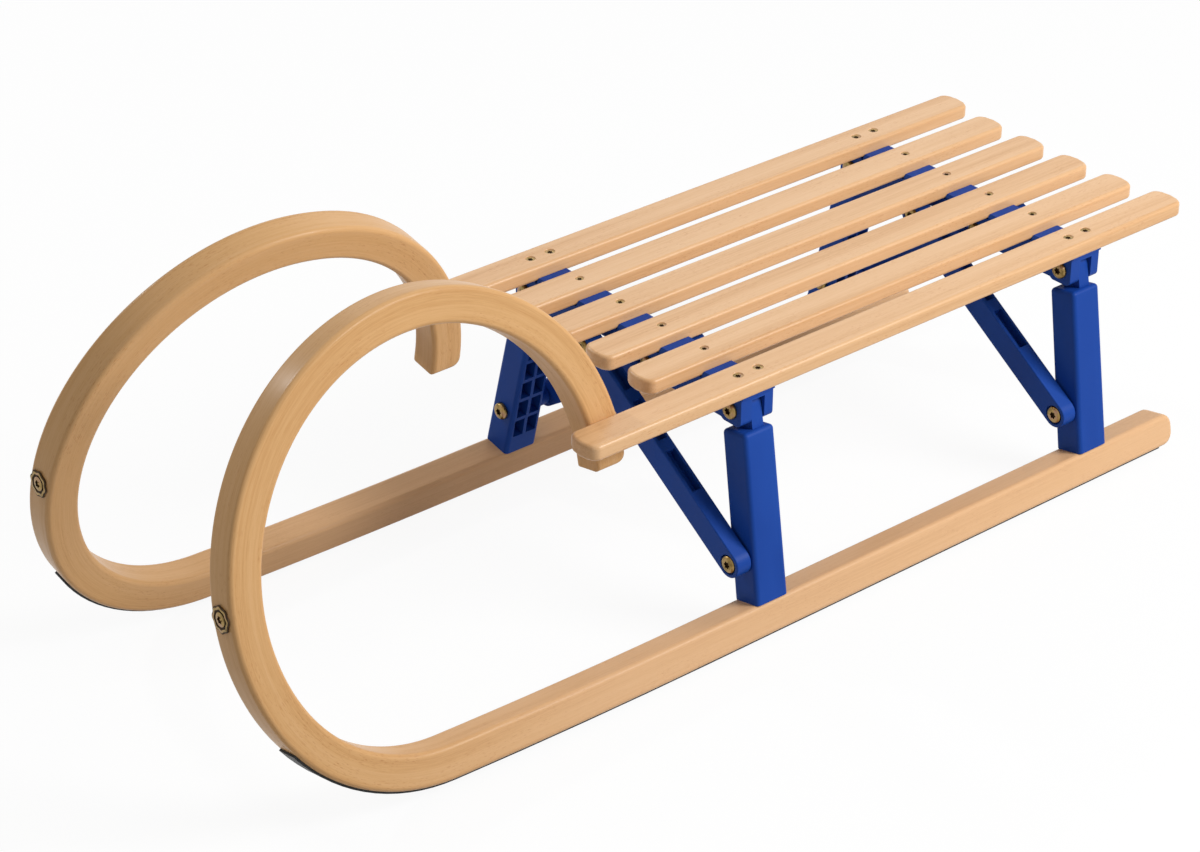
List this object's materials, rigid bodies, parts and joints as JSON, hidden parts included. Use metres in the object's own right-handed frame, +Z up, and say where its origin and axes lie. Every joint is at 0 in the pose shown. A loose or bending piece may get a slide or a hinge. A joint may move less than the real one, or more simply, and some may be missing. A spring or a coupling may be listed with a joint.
{
  "type": "folding horn sled",
  "caption": "Folding wooden horn sled with a slatted seat on moulded plastic trestles, steel-shod runners bent up into tall horns, and struts that slide as the sides fold out flat.",
  "frame": {"origin": "On the ground under the middle of the sled's length and width, with the sled standing open on its runners.", "axes": "+Z is up, the horns point to -Y, and +X is the rider's left."},
  "size_m": [0.3838, 1.054, 0.3937],
  "materials": {
    "beech": "clear varnish, satin",
    "blue_plastic": "moulded, satin",
    "strip_steel": "dark, worn smooth on the sole",
    "yellow_zinc": "yellow zinc plated"
  },
  "bodies": {
    "seat": {"slat_left_outer": "beech", "slat_left_middle": "beech", "slat_left_inner": "beech", "slat_right_inner": "beech", "slat_right_middle": "beech", "slat_right_outer": "beech", "beam_front": "blue_plastic", "beam_rear": "blue_plastic", "hinge_pin_front_left": "yellow_zinc", "hinge_pin_rear_left": "yellow_zinc", "hinge_pin_front_right": "yellow_zinc", "hinge_pin_rear_right": "yellow_zinc"},
    "side_left": {"runner_left": "beech", "shoe_left": "strip_steel", "leg_front_left": "blue_plastic", "strut_pin_front_left": "yellow_zinc", "leg_rear_left": "blue_plastic", "strut_pin_rear_left": "yellow_zinc"},
    "strut_front_left": {"strut_front_left": "blue_plastic"},
    "strut_rear_left": {"strut_rear_left": "blue_plastic"},
    "side_right": {"runner_right": "beech", "shoe_right": "strip_steel", "leg_front_right": "blue_plastic", "strut_pin_front_right": "yellow_zinc", "leg_rear_right": "blue_plastic", "strut_pin_rear_right": "yellow_zinc"},
    "strut_front_right": {"strut_front_right": "blue_plastic"},
    "strut_rear_right": {"strut_rear_right": "blue_plastic"}
  },
  "joints": [
    {"name": "fold_left", "type": "hinge", "parent": "seat", "child": "side_left", "pos_m": [0.137, 0.2, 0.2057], "axis": [0, -1, 0], "range_deg": [0, 80]},
    {"name": "strut_turn_front_left", "type": "hinge", "parent": "side_left", "child": "strut_front_left", "pos_m": [0.16365, -0.033, 0.0747], "axis": [0, 1, 0], "range_deg": [0, 45.4]},
    {"name": "strut_turn_rear_left", "type": "hinge", "parent": "side_left", "child": "strut_rear_left", "pos_m": [0.16365, 0.367, 0.0747], "axis": [0, 1, 0], "range_deg": [0, 45.4]},
    {"name": "fold_right", "type": "hinge", "parent": "seat", "child": "side_right", "pos_m": [-0.137, 0.2, 0.2057], "axis": [0, 1, 0], "range_deg": [0, 60]},
    {"name": "strut_turn_front_right", "type": "hinge", "parent": "side_right", "child": "strut_front_right", "pos_m": [-0.16365, 0.033, 0.0747], "axis": [0, -1, 0], "range_deg": [0, 36.7]},
    {"name": "strut_turn_rear_right", "type": "hinge", "parent": "side_right", "child": "strut_rear_right", "pos_m": [-0.16365, 0.433, 0.0747], "axis": [0, -1, 0], "range_deg": [0, 36.7]}
  ],
  "couplings": [
    {"joint": "strut_turn_front_left", "follows": "fold_left", "ratio": 0.564},
    {"joint": "strut_turn_rear_left", "follows": "fold_left", "ratio": 0.564},
    {"joint": "strut_turn_front_right", "follows": "fold_right", "ratio": 0.6072},
    {"joint": "strut_turn_rear_right", "follows": "fold_right", "ratio": 0.6072}
  ]
}
